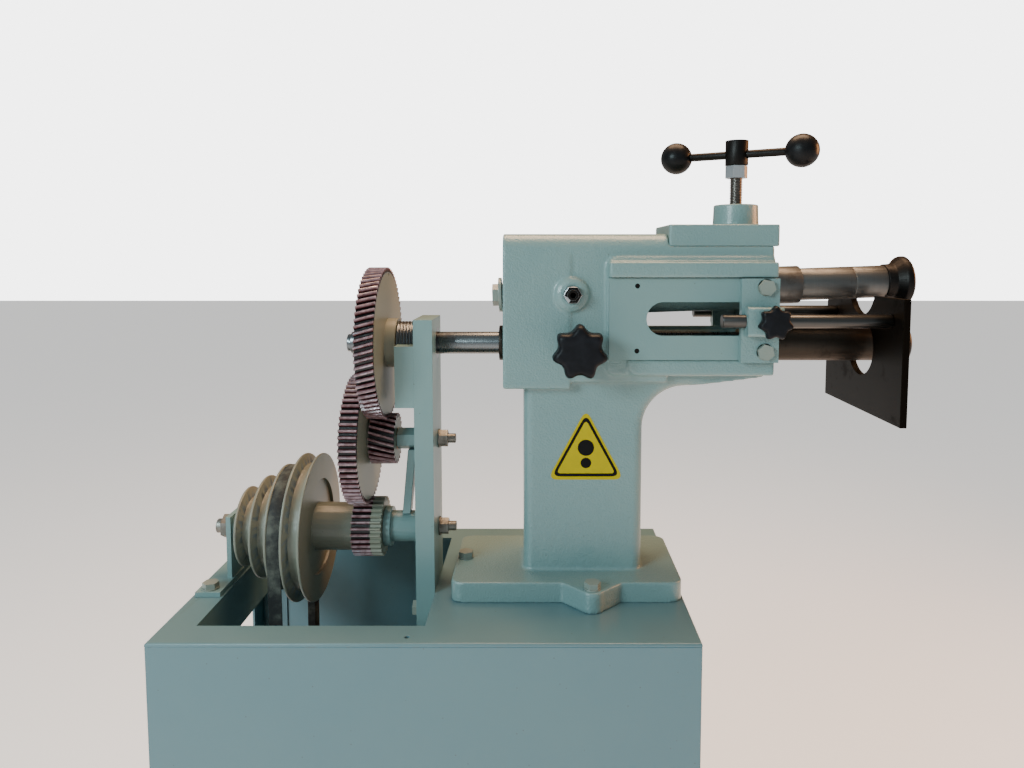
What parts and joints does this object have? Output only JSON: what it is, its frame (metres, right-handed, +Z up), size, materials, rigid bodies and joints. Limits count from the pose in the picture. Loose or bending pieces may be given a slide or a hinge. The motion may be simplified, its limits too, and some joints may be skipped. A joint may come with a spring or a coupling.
{
  "type": "rotary beading machine",
  "caption": "Powered rotary beading machine: steel cabinet, cast swan-neck head, two rolling shafts, exposed gear train, step pulley and press screw with ball handle.",
  "frame": {"origin": "on the floor, below the middle of the cabinet", "axes": "+Z up, +X from the gear end towards the rollers, all shafts in the plane Y = 0, the operator stands on the -Y side"},
  "size_m": [0.8867, 0.34, 1.28],
  "materials": {
    "machine_paint": "pale grey-green machine enamel",
    "cast_paint": "pale grey-green enamel over rough casting",
    "zinc_steel": "zinc plated, dulled",
    "gear_steel": "cut teeth with dark red grease",
    "bright_steel": "ground and oiled",
    "oiled_steel": "blackened, oiled",
    "bronze": "plain bearing bronze",
    "rough_iron": "raw casting with machined ends",
    "spring_steel": "black spring wire",
    "black_plastic": "moulded, fine grain",
    "belt_rubber": "fabric-faced V-belt rubber, dusty",
    "motor_enamel": "blue-grey enamel"
  },
  "bodies": {
    "frame": {"axle_bracket": "machine_paint", "bar_bearer": "machine_paint", "bearing_saddle": "machine_paint", "cabinet_back_panel": "machine_paint", "cabinet_floor_pan": "machine_paint", "cabinet_front_panel": "machine_paint", "cabinet_left_frame": "machine_paint", "cabinet_right_panel": "machine_paint", "cabinet_top_plate": "machine_paint", "cable_gland": "black_plastic", "drive_belt": "belt_rubber", "gear_studs": "bright_steel", "gear_support_bar": "machine_paint", "head_casting": "cast_paint", "lower_shaft_bushes": "bronze", "m10_hex_bolts": "zinc_steel", "motor_fan_cover": "motor_enamel", "motor_housing": "motor_enamel", "motor_mount": "machine_paint", "motor_terminal_box": "motor_enamel", "outer_shaft_bearing": "oiled_steel", "pivot_studs": "zinc_steel", "return_spring": "spring_steel", "rod_brackets": "machine_paint", "side_plate_screws": "oiled_steel", "side_plates": "machine_paint", "stud_brace": "machine_paint", "stud_nuts": "zinc_steel", "stud_spacers": "machine_paint", "top_block": "machine_paint"},
    "pulley_set": {"step_pulley": "machine_paint", "spur_pinion": "gear_steel", "pulley_bushes": "bronze"},
    "idler_set": {"idler_spur_gear": "gear_steel", "idler_helical_pinion": "gear_steel", "idler_bush": "bronze"},
    "lower_shaft_set": {"lower_shaft": "bright_steel", "main_helical_gear": "gear_steel", "lower_sync_gear": "gear_steel", "lower_shaft_sleeves": "oiled_steel", "lower_roller": "oiled_steel"},
    "rocker": {"rocker_arm": "rough_iron", "rocker_bushes": "bronze"},
    "upper_shaft_set": {"upper_shaft": "bright_steel", "upper_sync_gear": "gear_steel", "upper_end_bolt": "oiled_steel", "upper_shaft_sleeves": "oiled_steel", "upper_roller": "oiled_steel"},
    "press_pad": {"thrust_pad": "oiled_steel"},
    "press_handle": {"press_screw": "bright_steel", "screw_hub": "oiled_steel", "cross_bar": "oiled_steel", "ball_knobs": "black_plastic"},
    "fence": {"fence_plate": "oiled_steel", "guide_rods": "bright_steel"},
    "lock_knob": {"shaft_lock_knob": "black_plastic"},
    "front_rod_knob": {"guide_knob_front": "black_plastic"},
    "back_rod_knob": {"guide_knob_back": "black_plastic"},
    "motor_rotor": {"motor_shaft": "bright_steel", "motor_pulley": "machine_paint"}
  },
  "joints": [
    {"name": "lower_shaft_spin", "type": "hinge", "parent": "frame", "child": "lower_shaft_set", "pos_m": [0, 0, 1.02494], "axis": [1, 0, 0], "continuous": true},
    {"name": "idler_spin", "type": "hinge", "parent": "frame", "child": "idler_set", "pos_m": [-0.09, 0, 0.902], "axis": [1, 0, 0], "continuous": true},
    {"name": "pulley_spin", "type": "hinge", "parent": "frame", "child": "pulley_set", "pos_m": [-0.2, 0, 0.787], "axis": [1, 0, 0], "continuous": true},
    {"name": "motor_spin", "type": "hinge", "parent": "frame", "child": "motor_rotor", "pos_m": [-0.2, 0, 0.29], "axis": [1, 0, 0], "continuous": true},
    {"name": "rocker_tilt", "type": "hinge", "parent": "frame", "child": "rocker", "pos_m": [0.164, 0, 1.08894], "axis": [0, 1, 0], "range_deg": [0, 2.5], "deforming": ["return_spring"]},
    {"name": "upper_shaft_spin", "type": "hinge", "parent": "rocker", "child": "upper_shaft_set", "pos_m": [0.164, 0, 1.08894], "axis": [0.9994, 0, 0.0349], "continuous": true},
    {"name": "pad_slide", "type": "slide", "parent": "frame", "child": "press_pad", "axis": [0, 0, 1], "range_m": [-0.009, 0]},
    {"name": "screw_turn", "type": "hinge", "parent": "press_pad", "child": "press_handle", "pos_m": [0.3705, 0, 1.26], "axis": [0, 0, 1], "range_deg": [-1620, 0]},
    {"name": "fence_slide", "type": "slide", "parent": "frame", "child": "fence", "axis": [1, 0, 0], "range_m": [-0.11, 0.01]},
    {"name": "lock_knob_turn", "type": "hinge", "parent": "frame", "child": "lock_knob", "pos_m": [0.171, -0.09, 1.02494], "axis": [0, 1, 0], "range_deg": [0, 360]},
    {"name": "front_rod_knob_turn", "type": "hinge", "parent": "frame", "child": "front_rod_knob", "pos_m": [0.391, -0.1, 1.059], "axis": [0, 1, 0], "range_deg": [0, 360]},
    {"name": "back_rod_knob_turn", "type": "hinge", "parent": "frame", "child": "back_rod_knob", "pos_m": [0.391, 0.1, 1.059], "axis": [0, 1, 0], "range_deg": [0, 360]}
  ],
  "couplings": [
    {"joint": "idler_spin", "follows": "lower_shaft_spin", "ratio": -3.1304},
    {"joint": "pulley_spin", "follows": "lower_shaft_spin", "ratio": 7.1553},
    {"joint": "motor_spin", "follows": "lower_shaft_spin", "ratio": 8.9078},
    {"joint": "upper_shaft_spin", "follows": "lower_shaft_spin", "ratio": -1},
    {"joint": "pad_slide", "follows": "screw_turn", "m_per_rad": 0.00031831},
    {"joint": "rocker_tilt", "follows": "screw_turn", "ratio": -0.0015432}
  ]
}
